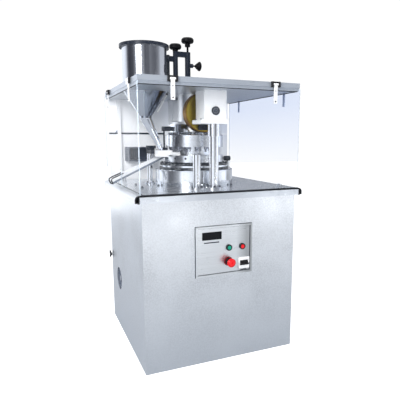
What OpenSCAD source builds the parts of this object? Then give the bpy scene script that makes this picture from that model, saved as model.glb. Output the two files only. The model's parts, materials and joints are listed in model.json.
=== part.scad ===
// Single-sided rotary tablet press on a square cabinet, sixteen stations.
// Origin: centre of the cabinet's footprint, on the floor. +X right, -Y front, +Z up.

/* [Cabinet] */
// Width and depth of the cabinet
cab = 750; // [746:2:756]
// Height of the cabinet, floor to the underside of the table
cab_h = 770; // [766:2:774]
// Thickness of the cabinet's sheet
skin = 2; // [1.5:0.5:2]
// Side of the square frame tube
tube = 40; // [36:2:40]
// Wall of the square frame tube
tube_wall = 3; // [2:0.5:4]

/* [Turret] */
// Number of stations
stations = 16; // [12:4:16]
// Radius of the circle that the punches stand on
pitch_r = 120; // [119:0.5:121]
// Radius of the die table
turret_r = 150; // [148:1:150]
// Height of the die table's top face
die_z = 954; // [953.5:0.5:954]
// Radius of a die
die_r = 15.08; // [14.5:0.01:15.2]
// Radius of a punch barrel
barrel_r = 9.5; // [9:0.1:9.5]

/* [Pressure rollers] */
// Radius of the upper pressure roller
roller_r = 94; // [90:0.5:94]
// Height of the upper roller's axle
roller_z = 1161; // [1161:0.5:1163]
// Radius of the lower pressure roller
low_roller_r = 64; // [62:0.5:64]

/* [Guard] */
// Height of the top cover's underside
cover_z = 1252; // [1252:1:1256]
// Thickness of the clear windows
pane = 3; // [2:0.5:3]

/* [Hopper] */
// Inside radius of the hopper drum
hopper_r = 102.5; // [98:0.5:103]
// Height of the hopper's rim
hopper_top = 1462; // [1440:1:1470]

/* [Drive] */
// Radius of the pulley on the worm shaft
big_pulley_r = 100; // [96:1:100]
// Radius of the pulley on the motor
small_pulley_r = 50; // [48:1:50]

/* [Hidden] */
$fn = 96;

half = cab / 2;
inner = half - skin;
run_fit = 0.05;                 // radial clearance of a running fit
eps = 0.5;                      // overshoot of a cut

// Table
bed_t = 26;
bed_top = cab_h + bed_t;
table_z = bed_top + 9;
rail_out = half + 30;           // outer face of the rolled rails along both sides
rail_z = [cab_h + 3, cab_h + 34];
rail_round = 17;
rail_front = [-half - 15, -half - 1];   // the flat rail along the front
rail_end = half + 11;           // half the length of the front rail
table_hole_r = 166;

// Turret levels
low_turret_z = [822, 905];
die_table_z = [921, die_z];
up_turret_z = [996, 1056];
die_h = 22.2;
punch_tip_r = 4.95;
low_head_z = 806;
up_head_z = 1066;
up_tip_z = 972;
journal_r = 25;
mid_shaft_r = 32;
low_shaft_r = 28;

// Rollers and head
roller_y = [-142, -98];
low_roller_y = [-140, -100];
low_roller_z = low_head_z - 0.4 - low_roller_r;
axle_r = 17;
low_axle_r = 15;
hub_r = 80;
head_y = [-280, -175];

// Worm drive
worm_m = 6;                     // module
wheel_teeth = 24;
wheel_r = worm_m * wheel_teeth / 2;
worm_r = 28;
worm_y = wheel_r + worm_r;
worm_z = 600;
worm_half = 40;
worm_lead = PI * worm_m;
belt_x = 180;
motor_y = 173;
motor_z = 283;

// Guard
cover_top = cover_z + 35;
cover_x = half + 5;
cover_front = -(half + 7);
hopper_hole_r = 112;
hinge_z = cover_top - 11;
hinge_gap = 6;                  // from the cover's edge to the hinge axis
pane_bottom = rail_z[1] + 2.5;
strap_len = 84;
chute_start = [-153, 46.7, 942.7];
chute_dir = [-280, -30, -126];
chute_len = 299;

// Hopper
hopper_c = [-262, -45];
hopper_wall = 2;
neck_z = 1134;
neck_r = 26;
spout_end = [-188, -45, 981];
stand_y = -50;
left_post_x = -110.5;
right_post_x = -48;
yoke_z = [1426, 1449];

// Control panel
panel_x = [-139, 142];
panel_z = [419, 651];
panel_face = -half - 2;
start_at = [25, 545];
stop_at = [93, 545];
estop_at = [22, 481];
breaker_x = [73, 127];
breaker_z = [441, 494];

steel = [0.78, 0.80, 0.82];
bright = [0.86, 0.88, 0.90];
dark = [0.16, 0.17, 0.19];
black = [0.05, 0.05, 0.06];
iron = [0.34, 0.36, 0.38];
bronze = [0.62, 0.52, 0.20];
clear = [0.85, 0.93, 0.97, 0.35];

// ---- shared shapes ----
module block(lo, hi) translate(lo) cube(hi - lo);
module rod(x, y, r, z0, z1) translate([x, y, z0]) cylinder(r = r, h = z1 - z0);
module rod_x(x0, x1, y, z, r) translate([x0, y, z]) rotate([0, 90, 0]) cylinder(r = r, h = x1 - x0);
module rod_y(x, y0, y1, z, r) translate([x, y1, z]) rotate([90, 0, 0]) cylinder(r = r, h = y1 - y0);
module ring(r0, r1, z0, z1) difference() {
    rod(0, 0, r1, z0, z1);
    rod(0, 0, r0, z0 - eps, z1 + eps);
}
module at_stations() for (i = [0 : stations - 1]) rotate(i * 360 / stations + 8.5)
    translate([pitch_r, 0, 0]) children();
module tube_x(x0, x1, y, z) difference() {
    block([x0, y - tube / 2, z], [x1, y + tube / 2, z + tube]);
    block([x0 - eps, y - tube / 2 + tube_wall, z + tube_wall],
        [x1 + eps, y + tube / 2 - tube_wall, z + tube - tube_wall]);
}
module tube_y(x, y0, y1, z) rotate(90) tube_x(y0, y1, -x, z);
module tube_z(x, y, z0, z1) difference() {
    block([x - tube / 2, y - tube / 2, z0], [x + tube / 2, y + tube / 2, z1]);
    block([x - tube / 2 + tube_wall, y - tube / 2 + tube_wall, z0 - eps],
        [x + tube / 2 - tube_wall, y + tube / 2 - tube_wall, z1 + eps]);
}

// ---- cabinet ----
post_x = inner - tube / 2;
post_front = -inner + tube / 2;
post_rear = inner - tube / 2 - 2;
plate_t = 4;
weld_gap = 0.2;                 // left between the welded members, which stay separate solids
frame_z = plate_t + weld_gap;
mid_rail_z = 143;
motor_rail_y = [motor_y - 80, motor_y + 80];

module base_frame() color("dimgray") {
    floor_plate();
    for (x = [-post_x, post_x], y = [post_front, post_rear]) tube_z(x, y, frame_z, cab_h);
    for (y = [post_front, post_rear], z = [frame_z, cab_h - tube])
        tube_x(-post_x + tube / 2 + weld_gap, post_x - tube / 2 - weld_gap, y, z);
    for (x = [-post_x, post_x], z = [frame_z, mid_rail_z, cab_h - tube])
        tube_y(x, post_front + tube / 2 + weld_gap, post_rear - tube / 2 - weld_gap, z);
    for (y = motor_rail_y)
        tube_x(-post_x + tube / 2 + weld_gap, post_x - tube / 2 - weld_gap, y, mid_rail_z);
}

anchor = 300;                   // half the spacing of the floor bolts
module floor_plate() difference() {
    block([-half + 4, -half + 4, 0], [half - 4, half - 4, plate_t]);
    for (x = [-anchor, anchor], y = [-anchor, anchor]) rod(x, y, 7, -eps, plate_t + eps);
}

sheet_z = [2, cab_h - 0.5];
rear_edge = half - 3.2;
module front_panel() color(steel) difference() {
    block([-half, -half, sheet_z[0]], [half, -inner, sheet_z[1]]);
    block([panel_x[0] + 12, -half - eps, panel_z[0] + 12],
        [panel_x[1] - 12, -inner + eps, panel_z[1] - 12]);
}
port_r = 60;
module left_panel() color(steel) difference() {
    block([-half, -inner, sheet_z[0]], [-inner, rear_edge, sheet_z[1]]);
    rod_x(-half - eps, -inner + eps, motor_y, motor_z, port_r);
}
gland_at = [300, 110];
module right_panel() color(steel) difference() {
    block([inner, -inner, sheet_z[0]], [half, rear_edge, sheet_z[1]]);
    rod_x(inner - eps, half + eps, gland_at[0], gland_at[1], 10);
}
module cable_gland() color(black) difference() {
    union() {
        rod_x(inner - 10, half, gland_at[0], gland_at[1], 9.9);
        rod_x(half, half + 14, gland_at[0], gland_at[1], 13);
        translate([inner - 7, gland_at[0], gland_at[1]]) rotate([0, 90, 0])
            cylinder(r = 15, h = 7, $fn = 6);
    }
    rod_x(inner - 11, half + 15, gland_at[0], gland_at[1], 6);
}

// Rear door on two pin hinges at the right rear corner
door_axis = [half + 5, half + 5];
door_x = [-half + 5, half - 3];
door_hinge_z = [140, 630];
knuckle_r = 5;
hinge_pin_r = 2.5;
latch_at = [-half, half - 11, 373];
module rear_door() color(steel) {
    difference() {
        block([door_x[0], half - 3, 6], [door_x[1], half, 766]);
        for (z = [540 : 24 : 684]) block([-130, half - 3 - eps, z], [130, half + eps, z + 7]);
    }
    for (z = door_hinge_z) difference() {
        union() {
            block([door_x[1] - 40, half, z], [door_axis[0], half + 2, z + 30]);
            rod(door_axis[0], door_axis[1], knuckle_r, z, z + 30);
        }
        rod(door_axis[0], door_axis[1], hinge_pin_r + run_fit, z - eps, z + 31);
    }
}
// Hinge leaves on the right panel with their pins, and the latch's pivot at the left rear corner
module door_fittings() color(bright) {
    translate(latch_at) rod_x(-16, 0, 0, 0, 4);
    for (z = door_hinge_z) {
        for (dz = [-30.3, 30.3]) {
            block([half, half - 38, z + dz], [half + 2, door_axis[1], z + dz + 30]);
            rod(door_axis[0], door_axis[1], knuckle_r, z + dz, z + dz + 30);
        }
        rod(door_axis[0], door_axis[1], hinge_pin_r, z - 1, z + 31);
    }
}
module door_latch() color(black) translate(latch_at) {
    difference() {
        union() {
            rod_x(-14, -4, 0, 0, 9);
            block([-14, -3, -18], [-8, 22, 18]);
        }
        rod_x(-15, -3, 0, 0, 4 + run_fit);
    }
}

// ---- table ----
slot_x = 62;
slot_y = [-145, -95];
module bed_plate() color(iron) difference() {
    block([-half + 4, -half + 4, cab_h], [half - 4, half - 4, bed_top]);
    rod(0, 0, 60, cab_h - eps, bed_top + eps);
    block([-slot_x, slot_y[0], cab_h - eps], [slot_x, slot_y[1], bed_top + eps]);
}
// Section of a side rail: a bar with its outer top edge rolled over, drawn with +X outwards
module rolled(x0, wall) difference() {
    union() {
        translate([x0, rail_z[0] + wall])
            square([rail_out - wall - x0, rail_z[1] - rail_z[0] - rail_round]);
        translate([x0, rail_z[0] + wall])
            square([rail_out - rail_round - x0, rail_z[1] - rail_z[0] - 2 * wall]);
        translate([rail_out - rail_round, rail_z[1] - rail_round]) circle(rail_round - wall);
    }
    translate([x0 - 2 * rail_round, cab_h - rail_round]) square([2 * rail_round, 3 * rail_round]);
}
module along_side(y0, y1) translate([0, y1, 0]) rotate([90, 0, 0]) linear_extrude(y1 - y0) children();
module edge_rail() color(bright) {
    difference() {
        union() {
            block([-rail_end, rail_front[0], cab_h + 1], [rail_end, -half + 3.8, bed_top + 2]);
            block([-rail_end, half - 3.8, rail_z[0]], [rail_end, half + 5, rail_z[1]]);
            for (s = [0, 1]) mirror([s, 0, 0]) along_side(-half - 9, half + 5) rolled(half - 3.8, 0);
        }
        for (s = [0, 1]) mirror([s, 0, 0]) along_side(-half - 10, half - 15) rolled(rail_end + 2, 3);
    }
}
// Four strips between the table and the rails, and the strip and end caps along the front rail
seal_z = [bed_top + 0.1, bed_top + 7];
module rail_seal() color(black) {
    for (s = [0, 1]) {
        mirror([0, s, 0]) block([-half + 4, -half + 4, seal_z[0]], [half - 4, -half + 10.7, seal_z[1]]);
        mirror([s, 0, 0]) block([half - 10.7, -half + 10.9, seal_z[0]], [half - 4, half - 10.9, seal_z[1]]);
    }
    block([-rail_end, rail_front[0] + 1, bed_top + 2.1], [rail_end, -half - 9.1, rail_z[1] + 2]);
    block([-half + 4, -half - 8.9, bed_top + 2.1], [half - 4, rail_front[1] - 1, rail_z[1] + 2]);
    for (s = [0, 1]) mirror([s, 0, 0]) along_side(-half - 14, -half - 9.1) difference() {
        rolled(rail_end + 0.1, 0);
        rolled(rail_end + 3, 4);
    }
}
module table_top() color(bright) difference() {
    block([-half + 11, -half + 11, bed_top], [half - 11, half - 11, table_z]);
    rod(0, 0, table_hole_r, bed_top - eps, table_z + eps);
}

// ---- turret housing ----
// Drum wall, its lid and the neck that carries the dust rings
module cam_housing() color(bright) rotate_extrude() {
    polygon([[188, table_z], [200, table_z], [200, 877.8], [188, 877.8]]);
    polygon([[156, 878], [200, 878], [200, 883], [197, 885.9], [156, 885.9]]);
    polygon([[156, 886], [160, 886], [160, 897], [174, 897], [174, 905], [160, 905], [160, 916],
        [156, 916]]);
}
bump_count = 24;
module dust_rings() color(dark) {
    ring(160.1, 178, 886.1, 896.9);
    union() {
        ring(160.1, 176, 905.1, 916);
        for (i = [0 : bump_count - 1]) rotate(i * 360 / bump_count)
            rod(168, 0, 4.5, 915, 919.5);
    }
}
module lower_cam() color(iron) difference() {
    ring(98, 145, bed_top, 805);
    block([-66, -150, bed_top - eps], [66, -85, 806]);
}
cheek_t = 16;
module roller_bracket() color(iron) {
    for (y = [low_roller_y[0] - 5 - cheek_t, low_roller_y[1] + 5])
        block([-42, y, 712], [42, y + cheek_t, cab_h]);
    rod_y(0, low_roller_y[0] - 5 - cheek_t - 8, low_roller_y[1] + 5 + cheek_t + 8,
        low_roller_z, low_axle_r);
}
module lower_roller() color(steel) difference() {
    rod_y(0, low_roller_y[0], low_roller_y[1], low_roller_z, low_roller_r);
    rod_y(0, low_roller_y[0] - 1, low_roller_y[1] + 1, low_roller_z, low_axle_r + run_fit);
}

// ---- turret ----
// Four sections bolted together on the shaft: lower turret, die table, waist and upper turret
shaft_bore = 35.05;
joint_gap = 0.2;
module turret_body() color(bright) difference() {
    rotate_extrude() {
        polygon([[shaft_bore, low_turret_z[0]], [turret_r - 2, low_turret_z[0]],
            [turret_r, low_turret_z[0] + 2], [turret_r, low_turret_z[1]], [shaft_bore, low_turret_z[1]]]);
        polygon([[shaft_bore, low_turret_z[1] + joint_gap], [108, low_turret_z[1] + joint_gap],
            [108, die_table_z[0]], [turret_r, die_table_z[0]], [turret_r, die_z], [shaft_bore, die_z]]);
        polygon([[shaft_bore, die_z + joint_gap], [88, die_z + joint_gap],
            [88, up_turret_z[0] - joint_gap], [shaft_bore, up_turret_z[0] - joint_gap]]);
        polygon([[shaft_bore, up_turret_z[0]], [turret_r, up_turret_z[0]],
            [turret_r, up_turret_z[1] - 3], [turret_r - 3, up_turret_z[1]], [shaft_bore, up_turret_z[1]]]);
    }
    at_stations() {
        rod(0, 0, barrel_r + run_fit, low_turret_z[0] - 1, die_z - die_h + 1);
        rod(0, 0, die_r + run_fit, die_z - die_h, die_z + 1);
        rod(0, 0, barrel_r + run_fit, up_turret_z[0] - 1, up_turret_z[1] + 1);
        rod_x(16, 31, 0, 940, 5);
    }
}
module die() rotate_extrude() polygon([
    [5.05, die_z - die_h], [die_r - 1, die_z - die_h], [die_r, die_z - die_h + 1],
    [die_r, die_z - 1], [die_r - 1, die_z], [5.05, die_z]]);
module dies() color(iron) at_stations() die();
module upper_punch() rotate_extrude() polygon([
    [0, up_tip_z], [punch_tip_r, up_tip_z], [punch_tip_r, up_tip_z + 12], [barrel_r, up_tip_z + 14],
    [barrel_r, 1050], [8, 1052], [8, 1058], [12.7, 1060], [12.7, 1063], [9, up_head_z], [0, up_head_z]]);
module lower_punch() rotate_extrude() polygon([
    [0, low_head_z], [9, low_head_z], [12.7, low_head_z + 3], [12.7, low_head_z + 6],
    [7.5, low_head_z + 8], [7.5, low_head_z + 14], [barrel_r, low_head_z + 16],
    [barrel_r, 929], [punch_tip_r, 931], [punch_tip_r, 946], [0, 946]]);
module upper_punches() color(steel) at_stations() upper_punch();
module lower_punches() color(steel) at_stations() lower_punch();
module turret_shaft() color(steel) rotate_extrude() polygon([
    [0, 562], [low_shaft_r, 562], [low_shaft_r, 640], [mid_shaft_r, 640], [mid_shaft_r, 798],
    [62, 798], [62, low_turret_z[0]], [35, low_turret_z[0]], [35, 1062],
    [journal_r, 1062], [journal_r, 1104], [0, 1104]]);

// ---- upper structure ----
column_y = [218, 290];
module upper_casting() color(steel) difference() {
    union() {
        rod(0, 0, hub_r, 1070, cover_z);
        difference() {
            rod(0, 0, 118, 1106.2, 1118);
            block([-130, -130, 1100], [130, -92, 1130]);
        }
        block([-42, 60, 1130], [42, column_y[0] + 10, cover_z - 12]);
        block([-45, column_y[0], table_z], [45, column_y[1], cover_z - 2]);
        block([-70, column_y[0] - 8, table_z], [70, column_y[1] + 20, table_z + 16]);
    }
    rod(0, 0, journal_r + run_fit, 1060, 1108);
    rod_y(0, -90, -58, roller_z, axle_r);
}
module upper_cam() color(bright) difference() {
    ring(104, 132, 1068, 1106);
    block([-84, -140, 1060], [84, -88, 1110]);
    translate([-60, -125, 1082]) rotate([0, 12, 28]) block([-90, -60, 0], [90, 50, 60]);
}
module head_block() color(bright) difference() {
    union() {
        block([-55, head_y[0], 1121], [55, head_y[1], cover_z]);
        block([-72, head_y[0] - 6, 1103], [60, head_y[1] + 3, 1121]);
    }
    rod_y(0, head_y[0] - 10, head_y[1] + 10, roller_z, axle_r);
}
module roller_shaft() color(steel) difference() {
    union() {
        rod_y(0, head_y[0] - 3, -60, roller_z, axle_r);
        rod_y(0, roller_y[1] + 0.5, -hub_r - 4, roller_z, axle_r + 6);
        rod_y(0, head_y[1], roller_y[0] - 0.5, roller_z, axle_r + 6);
    }
    rod_y(0, head_y[0] - 4, head_y[0] + 8, roller_z, 7);
}
module upper_roller() color(bronze) translate([0, roller_y[1], roller_z]) rotate([90, 0, 0])
    rotate_extrude() polygon([
        [axle_r + run_fit, 0], [40, 0], [42, 6], [78, 6], [80, 0], [roller_r - 2, 0], [roller_r, 2],
        [roller_r, 42], [roller_r - 2, 44], [80, 44], [78, 41], [42, 41], [40, 44],
        [axle_r + run_fit, 44]]);
module front_pillar() color(bright) translate([0, -259, 0]) rotate_extrude() polygon([
    [0, table_z], [40, table_z], [40, table_z + 7], [38, table_z + 9], [22.8, table_z + 9],
    [22.8, 1047], [27.5, 1047], [27.5, 1103], [0, 1103]]);
module flanged_post(x, y, r, top) translate([x, y, 0]) rotate_extrude() polygon([
    [0, table_z], [r * 1.9, table_z], [r * 1.9, table_z + 7], [r, table_z + 7], [r, top - 1],
    [r - 1, top], [0, top]]);
module support_posts() color(bright) {
    flanged_post(-80, -247, 18, 963.6);
    flanged_post(-210, 95, 14, 961.8);
    flanged_post(-352, 42, 5, 848);
}

// ---- feeder and discharge ----
module feed_frame() color(bright) difference() {
    union() {
        block([-206, -64, 957], [-137, 14, 980]);
        block([-140, -62, die_z + 0.6], [-96, 12, 970]);
        block([-206, -64, 948], [-156, 14, 958]);
    }
    block([-197, -56, 957], [-150, -34, 966]);
    block([-152, -56, die_z], [-106, -34, 966]);
    block([-130, -26, die_z], [-106, 4, 966]);
    rod(spout_end[0], spout_end[1], 8, 960, 981);
}
module feeder_bracket() color(dark) {
    block([-224, 14.2, 962], [-160, 112, 980]);
    rod(-205, 90, 20, 980, 986);
    block([-228, 82, 986], [-180, 98, 1001]);
    block([-180, -30, 980.1], [-150, -8, 994]);
    rod(-165, -19, 4, 994, 1074);
    difference() {
        block([-174, -30, 1074], [-118, -8, 1096]);
        rod(0, 0, 132.2, 1070, 1100);
    }
    block([181, -30, 886.1], [192, -12, 922]);
    rod_x(163, 195, -21, 934, 13);
}
wall_t = 2;
module discharge_chute() color(bright) translate(chute_start)
    rotate([0, atan2(-chute_dir[2], norm([chute_dir[0], chute_dir[1]])),
        atan2(chute_dir[1], chute_dir[0])]) {
        block([0, -22, -wall_t], [chute_len, 22, 0]);
        for (y = [-22, 20]) translate([0, y + wall_t, -wall_t]) rotate([90, 0, 0])
            linear_extrude(wall_t) polygon([[0, 0], [chute_len, 0], [chute_len, 27], [0, 15]]);
    }

// ---- guard ----
module top_cover() color(bright) difference() {
    union() {
        block([-cover_x, cover_front, cover_z + 13], [cover_x, half + 2, cover_top]);
        block([-cover_x + 3, cover_front + 3, cover_z], [cover_x - 3, half - 1, cover_z + 14]);
    }
    block([-cover_x + 5, cover_front + 5, cover_z + 2], [cover_x - 5, half - 3, cover_top - 2]);
    block([-34, roller_y[0] - 5, cover_z - 1], [34, roller_y[1] + 5, cover_z + 4]);
    rod(hopper_c[0], hopper_c[1], hopper_hole_r, cover_z - 1, cover_top + 1);
}
// One hinge seat in its own frame: axis along X, the cover's edge at y = hinge_gap
ear_x = [13, 22];
module hinge_seat() {
    for (s = [-1, 1]) scale([s, 1, 1]) block([ear_x[0], -5, -12], [ear_x[1], hinge_gap, 12]);
    block([-ear_x[1], 5.3, -12.5], [ear_x[1], hinge_gap, 13]);
    rod_x(-ear_x[1], ear_x[1], 0, 0, 3);
}
module hinge_strap() difference() {
    union() {
        rod_x(-ear_x[0] + 0.5, ear_x[0] - 0.5, 0, 0, 4.8);
        block([-9, -1.2, -strap_len], [9, hinge_gap - pane - 0.5, 0]);
    }
    rod_x(-ear_x[0], ear_x[0], 0, 0, 3 + run_fit);
}
module front_seat(x) translate([x, cover_front - hinge_gap, hinge_z]) children();
module left_seat(y) translate([-cover_x - hinge_gap, y, hinge_z]) rotate(-90) children();
module right_seat(y) translate([cover_x + hinge_gap, y, hinge_z]) rotate(90) children();
front_hinge_x = [-236, 248];
side_hinge_y = [-241, 252];
module window_hinges() color(black) {
    for (x = front_hinge_x) front_seat(x) hinge_seat();
    for (y = side_hinge_y) { left_seat(y) hinge_seat(); right_seat(y) hinge_seat(); }
}
module front_window() color(clear) {
    block([-cover_x, cover_front - 0.4 - pane, pane_bottom], [cover_x, cover_front - 0.4, cover_z + 10]);
    for (x = front_hinge_x) front_seat(x) hinge_strap();
}
chute_notch = [[-14, 62], 886];
module side_pane() block([cover_x + 0.4, cover_front + 0.3, pane_bottom],
    [cover_x + 0.4 + pane, half + 1, cover_z + 10]);
module left_window() color(clear) {
    difference() {
        mirror([1, 0, 0]) side_pane();
        block([-cover_x - 10, chute_notch[0][0], pane_bottom - 1],
            [-cover_x + 1, chute_notch[0][1], chute_notch[1]]);
    }
    for (y = side_hinge_y) left_seat(y) hinge_strap();
}
module right_window() color(clear) {
    side_pane();
    for (y = side_hinge_y) right_seat(y) hinge_strap();
}
guard_x = 366;
split_z = 1066;
module rear_guard() color(steel) {
    block([-guard_x, half - 3, split_z + 1], [guard_x, half - 1, cover_z]);
    block([-guard_x, half - 3, table_z], [guard_x, half, split_z - 1]);
    for (x = [-311, 311]) block([x - 9, half - 22, table_z], [x + 9, half - 3.2, cover_z]);
}
module dust_nozzle() color(dark) difference() {
    block([-282, 262, 912], [-150, half - 3.2, 991]);
    block([-276, 261, 918], [-156, half - 10, 985]);
}

// ---- hopper ----
module hopper() color(bright) translate([hopper_c[0], hopper_c[1], 0]) {
    rotate_extrude() polygon([
        [hopper_r, 1255], [hopper_r + hopper_wall, 1254.6], [hopper_r + hopper_wall, hopper_top],
        [hopper_r, hopper_top]]);
    difference() {
        hopper_cone(hopper_wall);
        hopper_cone(0);
    }
}
module hopper_cone(grow) rotate_extrude() polygon([
    [0, neck_z - (grow > 0 ? 0 : 1)], [neck_r + grow, neck_z - (grow > 0 ? 0 : 1)],
    [neck_r + grow, neck_z + 8], [hopper_r + grow, 1255 + (grow > 0 ? 0 : 0.4)],
    [0, 1255 + (grow > 0 ? 0 : 0.4)]]);
module hopper_rim() color(dark) translate([hopper_c[0], hopper_c[1], 0]) ring(
    hopper_r + hopper_wall, hopper_r + hopper_wall + 11, hopper_top - 11, hopper_top + 3);
spout_vec = spout_end - [hopper_c[0], hopper_c[1], neck_z];
spout_tilt = atan2(norm([spout_vec[0], spout_vec[1]]), -spout_vec[2]);
spout_turn = atan2(spout_vec[1], spout_vec[0]);
module spout_cone(r_low, r_high) translate(spout_end) rotate([0, 0, spout_turn])
    rotate([0, -spout_tilt, 0]) translate([0, 0, -12])
    cylinder(r1 = r_low, r2 = r_high, h = norm(spout_vec) + 24);
module hopper_spout() color(bright) intersection() {
    difference() {
        spout_cone(9.2, 27.6);
        spout_cone(7.2, 25.6);
    }
    block([-330, -120, spout_end[2]], [-150, 30, neck_z - 0.2]);
}
module hopper_stand() color(iron) {
    difference() {
        union() {
            for (p = [[left_post_x, 12], [right_post_x, 13.5]]) {
                rod(p[0], stand_y, p[1], cover_top, yoke_z[1]);
                rod(p[0], stand_y, p[1] + 9, cover_top, cover_top + 9);
            }
            block([left_post_x, stand_y - 11, yoke_z[0]], [right_post_x, stand_y + 11, yoke_z[1]]);
            rod_x(right_post_x, right_post_x + 26, stand_y, 1388, 10);
            block([-143, stand_y - 7, 1402], [left_post_x, stand_y + 7, 1426]);
        }
        rod(right_post_x, stand_y, 5, 1420, yoke_z[1] + 1);
        rod_x(right_post_x, right_post_x + 27, stand_y, 1388, 4);
        rod(left_post_x, stand_y, 5, 1420, yoke_z[1] + 1);
    }
    block([-155, stand_y - 10, cover_top], [-143, stand_y + 10, 1430]);
}
module mushroom(r, hub, drop) rotate_extrude() polygon([
    [0, 0], [hub, 0], [hub, drop - 4], [r - 4, drop], [r, drop + 5], [r, drop + 15],
    [r - 5, drop + 22], [0, drop + 24]]);
module left_knob() color(black) {
    translate([left_post_x, stand_y, yoke_z[1] + 0.3]) mushroom(29, 13, 11);
    rod(left_post_x, stand_y, 4.95, 1422, 1452);
}
module right_knob() color(black) {
    translate([right_post_x, stand_y, 1475]) mushroom(30, 13, 18);
    rod(right_post_x, stand_y, 4.95, 1422, 1477);
}
module side_knob() color(black) {
    rod_x(right_post_x + 15, right_post_x + 48, stand_y, 1388, 3.95);
    translate([right_post_x + 40, stand_y, 1388]) rotate([0, 90, 0]) rotate_extrude() polygon([
        [0, 0], [8, 0], [22, 18], [22.5, 23], [17, 27], [0, 28]]);
}

// ---- controls ----
module control_panel() color(steel) difference() {
    union() {
        block([panel_x[0], -half - 7, panel_z[0]], [panel_x[1], -half, panel_z[1]]);
        block([panel_x[0] + 12.1, -half - 1, panel_z[0] + 12.1],
            [panel_x[1] - 12.1, -half + 1.5, panel_z[1] - 12.1]);
    }
    block([panel_x[0] + 9, -half - 8, panel_z[0] + 9],
        [panel_x[1] - 9, panel_face, panel_z[1] - 9]);
    for (p = [start_at, stop_at, estop_at]) rod_y(p[0], -half - 9, -half + 3, p[1], 11.1);
    block([breaker_x[0] + 4, -half - 9, breaker_z[0] + 4], [breaker_x[1] - 4, -half + 3, breaker_z[1] - 4]);
}
module bezel(p, r_out, t) difference() {
    union() {
        rod_y(p[0], panel_face - t, panel_face, p[1], r_out);
        rod_y(p[0], panel_face, -half + 48, p[1], 11);
    }
    rod_y(p[0], panel_face - t - 1, -half + 40, p[1], 9);
}
module button_bezels() color(black) {
    bezel(start_at, 14.5, 6);
    bezel(stop_at, 14.5, 6);
    bezel(estop_at, 15.5, 10);
}
module push_button(p) rod_y(p[0], panel_face - 7.5, -half + 20, p[1], 8.9);
module start_button() color([0, 0.55, 0.4]) push_button(start_at);
module stop_button() color([0.85, 0.1, 0.1]) push_button(stop_at);
module estop_button() color([0.85, 0.05, 0.08]) translate([estop_at[0], -half + 20, estop_at[1]])
    rotate([90, 0, 0]) rotate_extrude() polygon([
        [0, 0], [8.9, 0], [8.9, 46], [17, 49], [20, 53], [20, 60], [14, 65], [0, 67]]);
module breaker_body() color("white") difference() {
    union() {
        block([breaker_x[0], panel_face - 9, breaker_z[0]], [breaker_x[1], panel_face, breaker_z[1]]);
        block([breaker_x[0] + 4.2, panel_face, breaker_z[0] + 4.2],
            [breaker_x[1] - 4.2, -half + 55, breaker_z[1] - 4.2]);
    }
    block([breaker_x[0] + 5, panel_face - 10, 456], [breaker_x[1] - 5, panel_face + 12, 480]);
}
toggle_z = 468;
module breaker_toggle() color(black) translate([100, panel_face, toggle_z]) rotate([25, 0, 0]) {
    rod_x(-21.7, 21.7, 0, 0, 7);
    for (x = [-17, 0, 17]) block([x - 5, -16, -4], [x + 5, 0, 4]);
    block([-21, -16, -3], [21, -11, 3]);
}

// ---- drive ----
case_wall = 10;
case_lo = [-95, -95, 545];
case_hi = [95, 150, 660];
module gear_case() color(iron) difference() {
    union() {
        block(case_lo, case_hi);
        rod(0, 0, 58, 655, cab_h);
        rod(0, 0, 74, cab_h - 12, cab_h);
        rod(0, 0, 59.8, cab_h - 1, bed_top);
    }
    difference() {
        block(case_lo + [1, 1, 1] * case_wall, case_hi - [1, 1, 1] * case_wall);
        rod(0, 0, 40, 550, 576);
    }
    rod(0, 0, low_shaft_r + run_fit, 560, 660);
    rod(0, 0, mid_shaft_r + run_fit, 645, bed_top + 1);
    rod_x(case_lo[0] - 1, case_hi[0] + 1, worm_y, worm_z, 15 + run_fit);
}
// Wheel teeth lean by the worm's lead angle
lead_angle = atan(worm_lead / (2 * PI * worm_r));
wheel_w = 20;
module worm_wheel() color(bronze) difference() {
    union() {
        rod(0, 0, wheel_r - 6.6, worm_z - wheel_w / 2, worm_z + wheel_w / 2);
        for (i = [0 : wheel_teeth - 1]) rotate(i * 360 / wheel_teeth + 90)
            translate([wheel_r - 8, 0, worm_z]) rotate([-lead_angle, 0, 0])
            linear_extrude(wheel_w, center = true) polygon([
                [0, -5], [0, 5], [8, 3.5], [13, 2.1], [13, -2.1], [8, -3.5]]);
    }
    rod(0, 0, low_shaft_r + 0.02, worm_z - 20, worm_z + 20);
}
// The thread's cross-section, one turn of which is one lead
worm_root = worm_r - 7;
worm_tip = worm_r + 5;
crest = [0.24, 0.56];           // shares of a lead where the flank starts and ends
function thread_r(u) = let (a = abs(u - 0.5) * 2, t = (a - crest[0]) / (crest[1] - crest[0]))
    worm_tip + (worm_root - worm_tip) * min(1, max(0, t));
module worm_thread() linear_extrude(2 * worm_half, twist = -360 * 2 * worm_half / worm_lead,
    slices = 64, center = true, $fn = 12)
    polygon([for (i = [0 : 23]) thread_r(i / 24) * [cos(i * 15), sin(i * 15)]]);
module worm_shaft() color(steel) {
    translate([0, worm_y, worm_z]) rotate([0, 90, 0])
        rotate(-90 - 360 * worm_half / worm_lead) worm_thread();
    rod_x(-112, 215, worm_y, worm_z, 15);
    pulley(belt_x, worm_y, worm_z, big_pulley_r);
}
belt_pitch = 16;
module pulley(x, y, z, r) translate([x, y, z]) rotate([0, 90, 0]) rotate_extrude() polygon([
    [10, -17], [r, -17], [r, -15.5], [r - 11, -14], [r - 11, -2], [r, -0.7], [r, 0.7], [r - 11, 2],
    [r - 11, 14], [r, 15.5], [r, 17], [10, 17]]);
belt_span = norm([motor_y - worm_y, motor_z - worm_z]);
belt_dir = atan2(motor_y - worm_y, worm_z - motor_z);
belt_steps = 24;                // flats on each arc of a belt
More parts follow.
